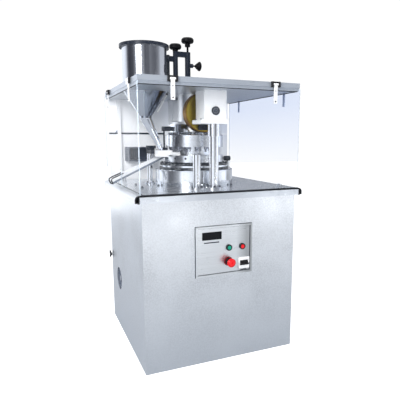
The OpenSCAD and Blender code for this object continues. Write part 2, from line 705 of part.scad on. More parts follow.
module belt_outline(r1, r2) {
    a = acos((r1 - r2) / belt_span);
    polygon([
        for (i = [0 : belt_steps]) let (t = a + i * (360 - 2 * a) / belt_steps) r1 * [cos(t), sin(t)],
        for (i = [0 : belt_steps]) let (t = -a + i * 2 * a / belt_steps)
            [belt_span, 0] + r2 * [cos(t), sin(t)]]);
}
module drive_belt() color(black) for (s = [-1, 1]) translate([belt_x + s * belt_pitch / 2, worm_y, worm_z])
    rotate([0, 90, 0]) rotate(belt_dir) linear_extrude(10, center = true) difference() {
        belt_outline(big_pulley_r - 1, small_pulley_r - 1);
        belt_outline(big_pulley_r - 9, small_pulley_r - 9);
    }
fins = 28;
motor_foot_z = mid_rail_z + tube;
module motor_body() color("slategray") difference() {
    union() {
        rod_x(-120, 90, motor_y, motor_z, 84);
        rod_x(90, 118, motor_y, motor_z, 92);
        rod_x(-186, -120, motor_y, motor_z, 92);
        for (i = [0 : fins - 1]) translate([0, motor_y, motor_z]) rotate([i * 360 / fins, 0, 0])
            block([-121, -1.5, 80], [91, 1.5, 90]);
        block([-80, motor_rail_y[0] - 16, motor_foot_z], [70, motor_rail_y[1] + 16, motor_foot_z + 12]);
        for (y = [motor_y - 62, motor_y + 50])
            block([-75, y, motor_foot_z + 4], [65, y + 12, motor_z - 30]);
        block([-60, motor_y - 45, motor_z + 80], [20, motor_y + 45, motor_z + 122]);
    }
    rod_x(-190, 120, motor_y, motor_z, 14 + run_fit);
}
module motor_shaft() color(steel) {
    rod_x(hand_wheel_x, 215, motor_y, motor_z, 14);
    pulley(belt_x, motor_y, motor_z, small_pulley_r);
}
// A solid disc with a round rim, just inside the port
hand_wheel_x = -half + 5;
module hand_wheel() color("silver") translate([hand_wheel_x, motor_y, motor_z])
    rotate([0, 90, 0]) difference() {
        union() {
            rotate_extrude() translate([50, 8]) circle(7, $fn = 48);
            cylinder(r = 22, h = 24);
            translate([0, 0, 5]) cylinder(r = 50, h = 6);
        }
        translate([0, 0, -1]) cylinder(r = 14.02, h = 30);
    }

base_frame();
front_panel();
left_panel();
right_panel();
bed_plate();
edge_rail();
rail_seal();
table_top();
cam_housing();
dust_rings();
lower_cam();
roller_bracket();
head_block();
roller_shaft();
front_pillar();
support_posts();
upper_casting();
upper_cam();
feed_frame();
feeder_bracket();
discharge_chute();
top_cover();
window_hinges();
rear_guard();
dust_nozzle();
hopper_stand();
control_panel();
button_bezels();
breaker_body();
gear_case();
motor_body();
drive_belt();
cable_gland();
door_fittings();
turret_shaft();
turret_body();
dies();
upper_punches();
lower_punches();
worm_wheel();
upper_roller();
lower_roller();
worm_shaft();
motor_shaft();
hand_wheel();
front_window();
left_window();
right_window();
rear_door();
door_latch();
hopper();
hopper_rim();
hopper_spout();
left_knob();
right_knob();
side_knob();
start_button();
stop_button();
estop_button();
breaker_toggle();
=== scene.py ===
"""Looks for a rotary tablet press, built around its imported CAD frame. Metres, +Z up, front at -Y."""
import json
import math

import bmesh
import bpy
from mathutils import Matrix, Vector

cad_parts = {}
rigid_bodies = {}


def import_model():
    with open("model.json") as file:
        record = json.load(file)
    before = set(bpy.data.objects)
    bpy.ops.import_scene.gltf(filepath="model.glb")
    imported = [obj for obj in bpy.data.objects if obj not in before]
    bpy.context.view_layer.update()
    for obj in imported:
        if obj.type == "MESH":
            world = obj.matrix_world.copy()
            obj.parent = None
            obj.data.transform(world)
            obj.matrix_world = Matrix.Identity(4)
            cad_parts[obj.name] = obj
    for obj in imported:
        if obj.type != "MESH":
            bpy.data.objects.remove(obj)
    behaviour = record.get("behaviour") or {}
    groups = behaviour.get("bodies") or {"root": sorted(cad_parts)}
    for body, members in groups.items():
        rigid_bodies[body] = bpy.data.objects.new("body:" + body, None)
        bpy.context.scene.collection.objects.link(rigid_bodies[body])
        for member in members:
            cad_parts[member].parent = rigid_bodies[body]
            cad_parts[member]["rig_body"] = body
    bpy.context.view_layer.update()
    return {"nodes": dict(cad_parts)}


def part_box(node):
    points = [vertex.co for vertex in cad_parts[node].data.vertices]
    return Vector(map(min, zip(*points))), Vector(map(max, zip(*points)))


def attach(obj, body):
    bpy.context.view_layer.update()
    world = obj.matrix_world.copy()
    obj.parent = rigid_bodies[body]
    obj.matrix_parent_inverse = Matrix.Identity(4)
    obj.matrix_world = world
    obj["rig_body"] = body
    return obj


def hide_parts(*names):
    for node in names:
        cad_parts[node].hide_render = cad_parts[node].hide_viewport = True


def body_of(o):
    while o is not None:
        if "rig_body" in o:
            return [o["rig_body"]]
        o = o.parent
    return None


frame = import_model()
MM = 0.001

# ---------------------------------------------------------------- camera
CAMERA_AT = Vector((-0.7925, -2.0890, 1.0329))
CAMERA_YAW = math.radians(23.293)
CAMERA_PITCH = math.radians(9.434)

camera_data = bpy.data.cameras.new("camera")
camera_data.sensor_width = 36.0
camera_data.lens = 38.33
camera_data.shift_x = -0.0319
camera_data.shift_y = 0.0254
camera_data.clip_start = 0.05
camera = bpy.data.objects.new("camera", camera_data)
camera.location = CAMERA_AT
camera.rotation_euler = (math.pi / 2 - CAMERA_PITCH, 0, -CAMERA_YAW)
bpy.context.scene.collection.objects.link(camera)
bpy.context.scene.camera = camera


# ---------------------------------------------------------------- materials
class Nodes:
    """Short calls for the nodes of one tree. Its place is the socket that positions come from."""

    def __init__(self, tree):
        self.tree = tree
        self.place = None

    def add(self, kind, **values):
        node = self.tree.nodes.new(kind)
        for key, value in values.items():
            setattr(node, key, value)
        return node

    def link(self, source, target):
        self.tree.links.new(source, target)

    def spread(self, value, low, high, to_low, to_high):
        """Maps low..high of a value onto to_low..to_high, clamped."""
        node = self.add("ShaderNodeMapRange")
        self.link(value, node.inputs["Value"])
        ends = {"From Min": low, "From Max": high, "To Min": to_low, "To Max": to_high}
        for key, number in ends.items():
            node.inputs[key].default_value = number
        return node.outputs["Result"]

    def blend(self, share, dark, light):
        """A colour between dark and light. Either may be a colour or a socket."""
        node = self.add("ShaderNodeMix", data_type="RGBA")
        self.link(share, node.inputs["Factor"])
        for socket, value in ((node.inputs[6], dark), (node.inputs[7], light)):
            if isinstance(value, bpy.types.NodeSocket):
                self.link(value, socket)
            else:
                socket.default_value = (*value, 1)
        return node.outputs[2]

    def maths(self, operation, first, second):
        """One step of arithmetic. Either value may be a number or a socket."""
        node = self.add("ShaderNodeMath", operation=operation)
        for socket, value in zip(node.inputs, (first, second)):
            if isinstance(value, bpy.types.NodeSocket):
                self.link(value, socket)
            else:
                socket.default_value = value
        return node.outputs[0]

    def along(self, axis):
        """The place's X, Y or Z."""
        node = self.add("ShaderNodeSeparateXYZ")
        self.link(self.place, node.inputs[0])
        return node.outputs["XYZ".index(axis)]

    def compass_bands(self, levels):
        """Bright and dark bands round the compass, as (share of the turn, brightness) pairs."""
        turn = self.maths("ARCTAN2", self.along("X"), self.along("Y"))
        ramp = self.add("ShaderNodeValToRGB")
        self.link(self.spread(turn, -math.pi, math.pi, 0, 1), ramp.inputs["Fac"])
        elements = ramp.color_ramp.elements
        while len(elements) < len(levels):
            elements.new(0.5)
        for element, (position, level) in zip(elements, levels):
            element.position = position
            element.color = (level * 0.93, level * 0.965, level * 1.03 + 0.01, 1)
        return ramp.outputs["Color"]


class Look(Nodes):
    """A new material's nodes. Positions are the object's own, in metres."""

    def __init__(self, name):
        self.material = bpy.data.materials.new(name)
        self.material.use_nodes = True
        super().__init__(self.material.node_tree)
        self.shader = self.tree.nodes["Principled BSDF"]
        self.output = self.tree.nodes["Material Output"]
        self.place = self.add("ShaderNodeTexCoord").outputs["Object"]

    def stretched(self, scale):
        """The place, multiplied by scale along each axis."""
        node = self.add("ShaderNodeMapping")
        node.inputs["Scale"].default_value = scale
        self.link(self.place, node.inputs["Vector"])
        return node.outputs["Vector"]

    def noise(self, scale, detail=3.0, roughness=0.5, stretch=(1, 1, 1), distortion=0.0):
        node = self.add("ShaderNodeTexNoise")
        node.inputs["Scale"].default_value = scale
        node.inputs["Detail"].default_value = detail
        node.inputs["Roughness"].default_value = roughness
        node.inputs["Distortion"].default_value = distortion
        self.link(self.stretched(stretch), node.inputs["Vector"])
        return node.outputs["Fac"]

    def colour(self, source):
        self.link(source, self.shader.inputs["Base Color"])

    def roughness(self, source):
        self.link(source, self.shader.inputs["Roughness"])

    def edges(self, low=0.52, high=0.60):
        """Near 1 on sharp outer edges and 0 elsewhere."""
        node = self.add("ShaderNodeNewGeometry")
        return self.spread(node.outputs["Pointiness"], low, high, 0, 1)

    def bump(self, height, strength, distance):
        node = self.add("ShaderNodeBump")
        node.inputs["Strength"].default_value = strength
        node.inputs["Distance"].default_value = distance
        self.link(height, node.inputs["Height"])
        self.link(node.outputs["Normal"], self.shader.inputs["Normal"])

    def constant(self, **values):
        """Sets the shader's own sockets. An underscore stands for a space."""
        for key, value in values.items():
            self.shader.inputs[key.replace("_", " ")].default_value = value


def shades(colour, low, high):
    """A colour made darker and lighter by two factors."""
    return tuple(part * low for part in colour), tuple(min(1.0, part * high) for part in colour)


def brushed(name, colour, grain="X", roughness=0.34, depth=0.10, metallic=1.0, painted_shade=None):
    """Sheet steel with a fine straight grain along one axis and faint handling marks.

    With the last argument (start, end, factor) it darkens between two places along X: painted shade for a
    dark reflection.
    """
    look = Look(name)
    stretch = {"X": (5, 900, 900), "Y": (900, 5, 900), "Z": (900, 900, 5)}[grain]
    lines = look.noise(1.0, detail=2.0, stretch=stretch)
    clouds = look.noise(4.0, detail=4.0, roughness=0.6)
    marks = look.noise(38.0, detail=5.0, roughness=0.7)
    dark, light = shades(colour, 0.90, 1.06)
    grained = look.blend(look.spread(lines, 0.3, 0.7, 0, 1), dark, light)
    stains_and_shade = look.blend(look.spread(clouds, 0.35, 0.7, 0, 0.35), grained, shades(colour, 0.86, 1)[0])
    # Painted shade, when asked for: darker between two places along X
    if painted_shade:
        start, end, factor = painted_shade
        shade_share = look.spread(look.along("X"), start, end, 0, 1)
        stains_and_shade = look.blend(shade_share, stains_and_shade, shades(colour, factor, 1)[0])
    look.colour(stains_and_shade)
    uneven = look.spread(lines, 0.25, 0.75, -0.05, 0.06)
    sheen = look.maths("ADD", uneven, look.spread(marks, 0.4, 0.75, 0, 0.07))
    look.roughness(look.maths("ADD", sheen, roughness))
    look.bump(lines, depth, 0.0004)
    look.constant(Metallic=metallic)
    return look.material


def rolled_sheet(name, colour):
    """Satin stainless sheet: fine mottle, faint straight grain, wiped clouds, painted shade towards the
    floor.
    """
    look = Look(name)
    mottle = look.noise(420.0, detail=4.0, roughness=0.7)
    grain = look.noise(1.0, detail=2.0, stretch=(260, 260, 9))
    clouds = look.noise(5.0, detail=4.0, roughness=0.55, distortion=0.4)
    dark, light = shades(colour, 0.86, 1.12)
    shade = look.blend(look.spread(mottle, 0.32, 0.68, 0, 1), dark, light)
    shade = look.blend(look.spread(grain, 0.35, 0.65, 0, 0.22), shade, shades(colour, 0.84, 1)[0])
    patches = look.noise(150.0, detail=3.0, roughness=0.75)
    shade = look.blend(look.spread(patches, 0.42, 0.62, 0, 0.80), shade, shades(colour, 0.78, 1)[0])
    shade = look.blend(look.spread(clouds, 0.38, 0.66, 0, 0.45), shade, light)
    # Painted shade: darker and bluer towards the floor
    low = look.spread(look.along("Z"), 0.02, 0.46, 0.75, 0.0)
    floor_shade_tint = (0.96, 0.99, 1.03)
    shade = look.blend(low, shade, tuple(part * 0.80 * factor for part, factor in zip(colour, floor_shade_tint)))
    look.colour(shade)
    uneven = look.spread(clouds, 0.35, 0.7, -0.03, 0.06)
    sheen = look.maths("ADD", uneven, look.spread(mottle, 0.3, 0.7, -0.03, 0.04))
    look.roughness(look.maths("ADD", sheen, 0.33))
    look.bump(mottle, 0.10, 0.0004)
    look.constant(Metallic=1.0)
    return look.material


def pale_guard(name, high, low, top, bottom):
    """Satin sheet with painted light: bluer at its top right, whiter lower down and to the left, where it
    lies in shade.
    """
    look = Look(name)
    mottle = look.noise(160.0, detail=4.0, roughness=0.65)
    clouds = look.noise(3.0, detail=3.0, distortion=0.5)
    # Painted light: whiter lower down and to the left, where the guard lies in shade
    rise = look.spread(look.along("Z"), bottom, top, 0, 1)
    painted_shade = look.maths("MULTIPLY", rise, look.spread(look.along("X"), -0.12, 0.10, 0.1, 1))
    shade = look.blend(painted_shade, low, high)
    shade = look.blend(look.spread(mottle, 0.4, 0.7, 0, 0.10), shade, shades(high, 0.86, 1)[0])
    look.colour(look.blend(look.spread(clouds, 0.45, 0.7, 0, 0.25), shade, shades(low, 1, 1.05)[1]))
    look.roughness(look.spread(clouds, 0.3, 0.7, 0.34, 0.48))
    look.bump(mottle, 0.05, 0.0003)
    look.constant(Metallic=0.12)
    return look.material


def polished(name, colour, roughness=0.09, clouding=1.0, below=None, metallic=1.0):
    """Polished steel with finger smears and very fine scratches.

    With below (height, left colour, right colour, start, end) the metal under a height takes those
    tones along X: a painted dark reflection.
    """
    look = Look(name)
    smears = look.noise(22.0, detail=4.0, roughness=0.65, distortion=0.6)
    scratches = look.noise(1.0, detail=3.0, stretch=(60, 1400, 700))
    dark, light = shades(colour, 0.93, 1.03)
    shade = look.blend(look.spread(smears, 0.3, 0.75, 0, 1), light, dark)
    # Painted reflection, when asked for: other tones under a height
    if below:
        height, left, right, start, end = below
        under = look.blend(look.spread(look.along("X"), start, end, 0, 1), left, right)
        shade = look.blend(look.spread(look.along("Z"), height - 0.004, height, 0, 1), under, shade)
    look.colour(shade)
    haze = look.spread(smears, 0.45, 0.8, 0, 0.09 * clouding)
    fine = look.spread(scratches, 0.55, 0.8, 0, 0.05)
    look.roughness(look.maths("ADD", look.maths("ADD", haze, fine), roughness))
    look.bump(scratches, 0.03, 0.0002)
    look.constant(Metallic=metallic)
    return look.material


def turned(name, colour, centre, axis="Z", roughness=0.2, pitch=0.0011, rim_shade=None):
    """Metal turned on a lathe: fine rings round an axis, with optional painted shade beyond a radius."""
    look = Look(name)
    parts = look.add("ShaderNodeSeparateXYZ")
    shift = look.add("ShaderNodeVectorMath", operation="SUBTRACT")
    look.link(look.place, shift.inputs[0])
    shift.inputs[1].default_value = centre
    look.link(shift.outputs[0], parts.inputs[0])
    flat = [parts.outputs[i] for i in range(3) if "XYZ"[i] != axis]
    squares = [look.maths("MULTIPLY", s, s) for s in flat]
    radius = look.maths("SQRT", look.maths("ADD", *squares), 0.0)
    along = parts.outputs["XYZ".index(axis)]
    reach = look.maths("ADD", radius, along)
    rings = look.maths("SINE", look.maths("MULTIPLY", reach, 2 * math.pi / pitch), 0.0)
    clouds = look.noise(30.0, detail=4.0, roughness=0.6)
    dark, light = shades(colour, 0.82, 1.08)
    shade = look.blend(look.spread(rings, -1, 1, 0.2, 0.8), dark, light)
    shade = look.blend(look.spread(clouds, 0.4, 0.75, 0, 0.5), shade, dark)
    # Painted shade, when asked for: a darker tint beyond a radius
    if rim_shade:
        start, end, tint = rim_shade
        shade = look.blend(look.spread(radius, start, end, 0, 1), shade, tint)
    look.colour(shade)
    look.roughness(look.maths("ADD", look.spread(clouds, 0.35, 0.75, 0, 0.14), roughness))
    look.bump(rings, 0.06, 0.0002)
    look.constant(Metallic=1.0)
    return look.material


def painted(name, colour, roughness=0.42, texture=260.0, depth=0.12, gloss=0.35, wear=0.7):
    """Sprayed or brushed enamel on a casting, with orange peel, uneven cloudy tone and rubbed edges."""
    look = Look(name)
    peel = look.noise(texture, detail=2.0)
    clouds = look.noise(9.0, detail=5.0, roughness=0.65)
    dark, light = shades(colour, 0.75, 1.25)
    shade = look.blend(look.spread(clouds, 0.3, 0.7, 0, 1), dark, light)
    worn = look.maths("MULTIPLY", look.edges(), look.spread(look.noise(70.0), 0.45, 0.7, 0, wear))
    look.colour(look.blend(worn, shade, (0.30, 0.31, 0.32)))
    look.roughness(look.maths("ADD", look.spread(clouds, 0.3, 0.8, -0.06, 0.12), roughness))
    look.bump(peel, depth, 0.0006)
    look.constant(Metallic=0.0, Coat_Weight=0.0, Specular_IOR_Level=gloss)
    return look.material


def moulded(name, colour, roughness=0.28, grain=700.0, depth=0.05, coat=0.05, gloss=0.25):
    """Moulded plastic with a fine tooled texture and slightly uneven gloss."""
    look = Look(name)
    fine = look.noise(grain, detail=2.0)
    clouds = look.noise(45.0, detail=4.0)
    dark, light = shades(colour, 0.86, 1.10)
    shade = look.blend(look.spread(clouds, 0.3, 0.7, 0, 1), dark, light)
    rubbed = look.maths("MULTIPLY", look.edges(), 0.10)
    look.colour(look.blend(rubbed, shade, tuple(min(1, part + 0.12) for part in colour)))
    look.roughness(look.maths("ADD", look.spread(clouds, 0.35, 0.75, -0.04, 0.10), roughness))
    look.bump(fine, depth, 0.0003)
    look.constant(Coat_Weight=coat, Coat_Roughness=0.12, Specular_IOR_Level=gloss)
    return look.material


def rubber(name, colour):
    """Matt black rubber with a little dust."""
    look = Look(name)
    dust = look.noise(60.0, detail=6.0, roughness=0.7)
    fine = look.noise(900.0, detail=2.0)
    look.colour(look.blend(look.spread(dust, 0.5, 0.8, 0, 0.25), colour, (0.05, 0.05, 0.053)))
    look.roughness(look.spread(dust, 0.3, 0.8, 0.55, 0.80))
    look.bump(fine, 0.15, 0.0003)
    look.constant(Specular_IOR_Level=0.2)
    return look.material


def edge_shaded_sheet(name, colour, foot, slope, start, end):
    """Satin sheet with painted shade along its lower edge, bordered by a line that climbs with X."""
    look = Look(name)
    marks = look.noise(60.0, detail=4.0, roughness=0.65)
    height = look.maths("SUBTRACT", look.along("Z"), look.maths("MULTIPLY", look.along("X"), slope))
    shade = look.blend(look.spread(height, start, end, 0, 1), foot, colour)
    look.colour(look.blend(look.spread(marks, 0.4, 0.75, 0, 0.3), shade, foot))
    look.roughness(look.spread(marks, 0.3, 0.7, 0.32, 0.44))
    look.bump(marks, 0.04, 0.0003)
    look.constant(Metallic=0.25)
    return look.material


def clear_sheet(name, haze=None):
    """Clear acrylic sheet: its faces are see-through and mirror only a little, on their outer side.

    With haze (low, high, colour) it takes that tint gradually between two heights.
    """
    look = Look(name)
    smears = look.noise(7.0, detail=5.0, roughness=0.65, distortion=0.5)
    see = look.add("ShaderNodeBsdfTransparent")
    shade = look.blend(smears, (0.985, 0.99, 0.995), (1.0, 1.0, 1.0))
    if haze:
        low, high, colour = haze
        shade = look.blend(look.spread(look.along("Z"), low, high, 0, 1), shade, colour)
    look.link(shade, see.inputs["Color"])
    look.constant(Metallic=0.0, IOR=1.49)
    look.colour(look.blend(smears, (0.86, 0.92, 0.96), (0.93, 0.96, 0.98)))
    look.roughness(look.spread(smears, 0.4, 0.8, 0.04, 0.14))
    facing = look.add("ShaderNodeFresnel")
    facing.inputs["IOR"].default_value = 1.35
    inside = look.add("ShaderNodeNewGeometry").outputs["Backfacing"]
    outer = look.maths("SUBTRACT", 1.0, inside)
    share = look.maths("MULTIPLY", look.maths("MULTIPLY", facing.outputs[0], outer), 0.32)
    mix = look.add("ShaderNodeMixShader")
    look.link(share, mix.inputs[0])
    look.link(see.outputs[0], mix.inputs[1])
    look.link(look.shader.outputs[0], mix.inputs[2])
    look.link(mix.outputs[0], look.output.inputs["Surface"])
    return look.material


def sheet_edge(name, colour):
    """The sawn and flamed edge of a clear sheet, painted pale for the light that leaves it."""
    look = Look(name)
    saw = look.noise(1.0, detail=3.0, stretch=(300, 300, 60))
    dark, light = shades(colour, 0.80, 1.2)
    look.colour(look.blend(look.spread(saw, 0.3, 0.7, 0, 1), dark, light))
    look.roughness(look.spread(saw, 0.3, 0.7, 0.12, 0.3))
    look.constant(Metallic=0.0, IOR=1.49, Coat_Weight=0.4)
    return look.material


sheet_steel = rolled_sheet("sheet_steel", (0.755, 0.785, 0.820))
# Painted shade: the left panel's sheet is a darker, bluer copy of the front's
shaded_side_sheet = rolled_sheet("shaded_side_sheet", (0.700, 0.735, 0.780))
# Painted shade: the front bar and the side rails are one steel, each in the tone of the light it gets,
# darker and bluer on the front bar
rail_steel = brushed("rail_steel", (0.60, 0.635, 0.68), "X", 0.30, 0.05)
side_rail_steel = brushed("side_rail_steel", (0.80, 0.82, 0.84), "Y", 0.38, 0.05)
# Painted shade on the control panel: darker towards its right, for the dark reflection there
panel_steel = brushed("panel_steel", (0.755, 0.785, 0.81), "X", 0.30, 0.06, painted_shade=(0.062, 0.115, 0.55))
wheel_steel = turned("wheel_steel", (0.22, 0.25, 0.32), (-0.37, 0.173, 0.283), "X", 0.50)
cover_steel = brushed("cover_steel", (0.44, 0.48, 0.54), "X", 0.30, 0.04, 0.5)
# Painted light on the rear guard: whiter lower down and to the left, in the shade of the hopper and the
# drum
guard_sheet = pale_guard("guard_sheet", (0.93, 0.95, 0.98), (0.98, 0.98, 0.985), 1.20, 0.90)
machined = brushed("machined_steel", (0.92, 0.93, 0.94), "Z", 0.34, 0.03)
strap_steel = brushed("strap_steel", (0.95, 0.955, 0.96), "Z", 0.42, 0.03, 0.3)
head_steel = brushed("head_steel", (0.93, 0.935, 0.94), "Z", 0.46, 0.03, 0.3)
pillar_steel = polished("pillar_steel", (0.92, 0.93, 0.95), 0.20, 0.6)
table_steel = polished("table_steel", (0.76, 0.80, 0.86), 0.20, 1.2, metallic=0.75)
drum_mirror = polished("drum_mirror", (0.86, 0.885, 0.92), 0.10, 0.6)
# Painted reflection on the hopper: under a height its metal runs from grey to near black along X
hopper_mirror = polished("hopper_mirror", (0.82, 0.85, 0.90), 0.11, 1.0,
                         (1.256, (0.46, 0.50, 0.56), (0.10, 0.12, 0.17), -0.285, -0.215))
cone_mirror = polished("cone_mirror", (0.66, 0.69, 0.75), 0.07, 0.5)
chute_steel = brushed("chute_steel", (0.95, 0.955, 0.96), "X", 0.38, 0.03, 0.25)
shaft_steel = turned("shaft_steel", (0.62, 0.63, 0.65), (0, 0, 0), "Z", 0.22)
turret_steel = turned("turret_steel", (0.86, 0.885, 0.92), (0, 0, 0), "Z", 0.16, 0.0026)
punch_steel = polished("punch_steel", (0.40, 0.42, 0.47), 0.18)
pin_steel = polished("pin_steel", (0.60, 0.63, 0.68), 0.20)
die_steel = polished("die_steel", (0.50, 0.51, 0.53), 0.20)
roller_lo, roller_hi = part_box("upper_roller")
roller_centre = tuple((Vector(roller_lo) + Vector(roller_hi)) / 2)
# Painted shade on the pressure roller: darker brown at its rim, for the shade seen next to the head block
bronze = turned("roller_bronze", (0.58, 0.44, 0.07), roller_centre, "Y", 0.34, 0.0016,
                (0.084, 0.093, (0.32, 0.17, 0.04)))
gear_bronze = turned("gear_bronze", (0.55, 0.38, 0.16), (0, 0, 0), "Z", 0.26)
ring_black = painted("ring_black", (0.016, 0.020, 0.028), 0.26, 500.0, 0.04)
blackened = painted("blackened_steel", (0.018, 0.023, 0.034), 0.34, 420.0, 0.05, 0.2, 0.2)
nozzle_paint = painted("nozzle_paint", (0.060, 0.075, 0.110), 0.30, 420.0, 0.05)
rim_paint = painted("rim_paint", (0.016, 0.020, 0.030), 0.30, 420.0, 0.04, 0.15, 0.1)
stand_paint = painted("stand_paint", (0.014, 0.018, 0.027), 0.32, 300.0, 0.06, 0.12, 0.15)
machine_paint = painted("machine_paint", (0.16, 0.18, 0.20), 0.42)
motor_paint = painted("motor_paint", (0.10, 0.17, 0.25), 0.40)
frame_paint = painted("frame_paint", (0.10, 0.11, 0.12), 0.45)
black_plastic = moulded("black_plastic", (0.009, 0.009, 0.011), gloss=0.15)
knob_plastic = moulded("knob_plastic", (0.003, 0.003, 0.004), 0.40, 500.0, 0.03, 0.0, 0.08)
white_plastic = moulded("white_plastic", (0.78, 0.79, 0.80), 0.34)
green_plastic = moulded("green_plastic", (0.0, 0.26, 0.17), 0.26)
red_plastic = moulded("red_plastic", (0.66, 0.003, 0.008), 0.26)
dark_red_plastic = moulded("dark_red_plastic", (0.15, 0.002, 0.006), 0.36)
badge_plastic = moulded("badge_plastic", (0.005, 0.006, 0.008), 0.40, 900.0, 0.03, 0.0, 0.08)
black_rubber = rubber("black_rubber", (0.010, 0.011, 0.014))
belt_rubber = rubber("belt_rubber", (0.03, 0.03, 0.03))
clear_acrylic = clear_sheet("clear_acrylic")
tinted_acrylic = clear_sheet("tinted_acrylic", haze=(0.86, 1.20, (0.850, 0.885, 0.965)))
# Painted light: the windows' edges are pale for the light that leaves them
acrylic_edge = sheet_edge("acrylic_edge", (0.62, 0.70, 0.78))
screw_steel = polished("screw_steel", (0.09, 0.10, 0.12), 0.30)
bright_screw = polished("bright_screw", (0.60, 0.62, 0.65), 0.20)

NODE_MATERIALS = {
    "base_frame": frame_paint, "front_panel": sheet_steel, "left_panel": shaded_side_sheet,
    "right_panel": sheet_steel, "bed_plate": machine_paint, "edge_rail": rail_steel,
    "rail_seal": black_rubber, "table_top": table_steel, "cam_housing": drum_mirror,
    "dust_rings": ring_black, "lower_cam": machine_paint, "roller_bracket": machine_paint,
    "head_block": head_steel, "roller_shaft": pin_steel, "front_pillar": pillar_steel,
    "support_posts": pillar_steel, "upper_casting": machined, "upper_cam": drum_mirror,
    "feed_frame": strap_steel, "feeder_bracket": blackened, "discharge_chute": chute_steel,
    "top_cover": cover_steel, "window_hinges": black_plastic, "rear_guard": guard_sheet,
    "dust_nozzle": nozzle_paint, "hopper_stand": stand_paint, "control_panel": panel_steel,
    "button_bezels": black_plastic, "breaker_body": white_plastic, "gear_case": machine_paint,
    "motor_body": motor_paint, "drive_belt": belt_rubber, "cable_gland": black_plastic,
    "door_fittings": machined, "turret_shaft": shaft_steel, "turret_body": turret_steel,
    "dies": die_steel, "upper_punches": punch_steel, "lower_punches": punch_steel,
    "worm_wheel": gear_bronze, "upper_roller": bronze, "lower_roller": die_steel,
    "worm_shaft": punch_steel, "motor_shaft": punch_steel, "hand_wheel": wheel_steel,
    "front_window": clear_acrylic, "left_window": clear_acrylic, "right_window": clear_acrylic,
    "rear_door": sheet_steel, "door_latch": black_plastic, "hopper": hopper_mirror,
    "hopper_rim": rim_paint, "hopper_spout": cone_mirror, "left_knob": knob_plastic,
    "right_knob": knob_plastic, "side_knob": knob_plastic, "start_button": green_plastic,
    "stop_button": red_plastic, "estop_button": red_plastic, "breaker_toggle": black_plastic,
}


# Faces that meet below FLAT_ANGLE are joined, edges above SHARP_ANGLE get a bevel, and edges above
# SMOOTH_ANGLE are shaded sharp
FLAT_ANGLE = math.radians(0.6)
SHARP_ANGLE = math.radians(40)
SMOOTH_ANGLE = math.radians(35)


def round_edges(piece, width):
    """Adds a small bevel, in millimetres, along a piece's sharp edges."""
    bevel = piece.modifiers.new("edges", "BEVEL")
    bevel.width = width * MM
    bevel.segments = 2
    bevel.limit_method = "ANGLE"
    bevel.angle_limit = SHARP_ANGLE
    return bevel


def dress(node, material):
    """Gives a CAD node its material, and rounds its sharp edges a little."""
    piece = frame["nodes"][node]
    piece.data.materials.clear()
    piece.data.materials.append(material)
    flat = piece.modifiers.new("flat", "DECIMATE")
    flat.decimate_type = "DISSOLVE"
    flat.angle_limit = FLAT_ANGLE
    round_edges(piece, 0.6).harden_normals = True


for node, material in NODE_MATERIALS.items():
    dress(node, material)


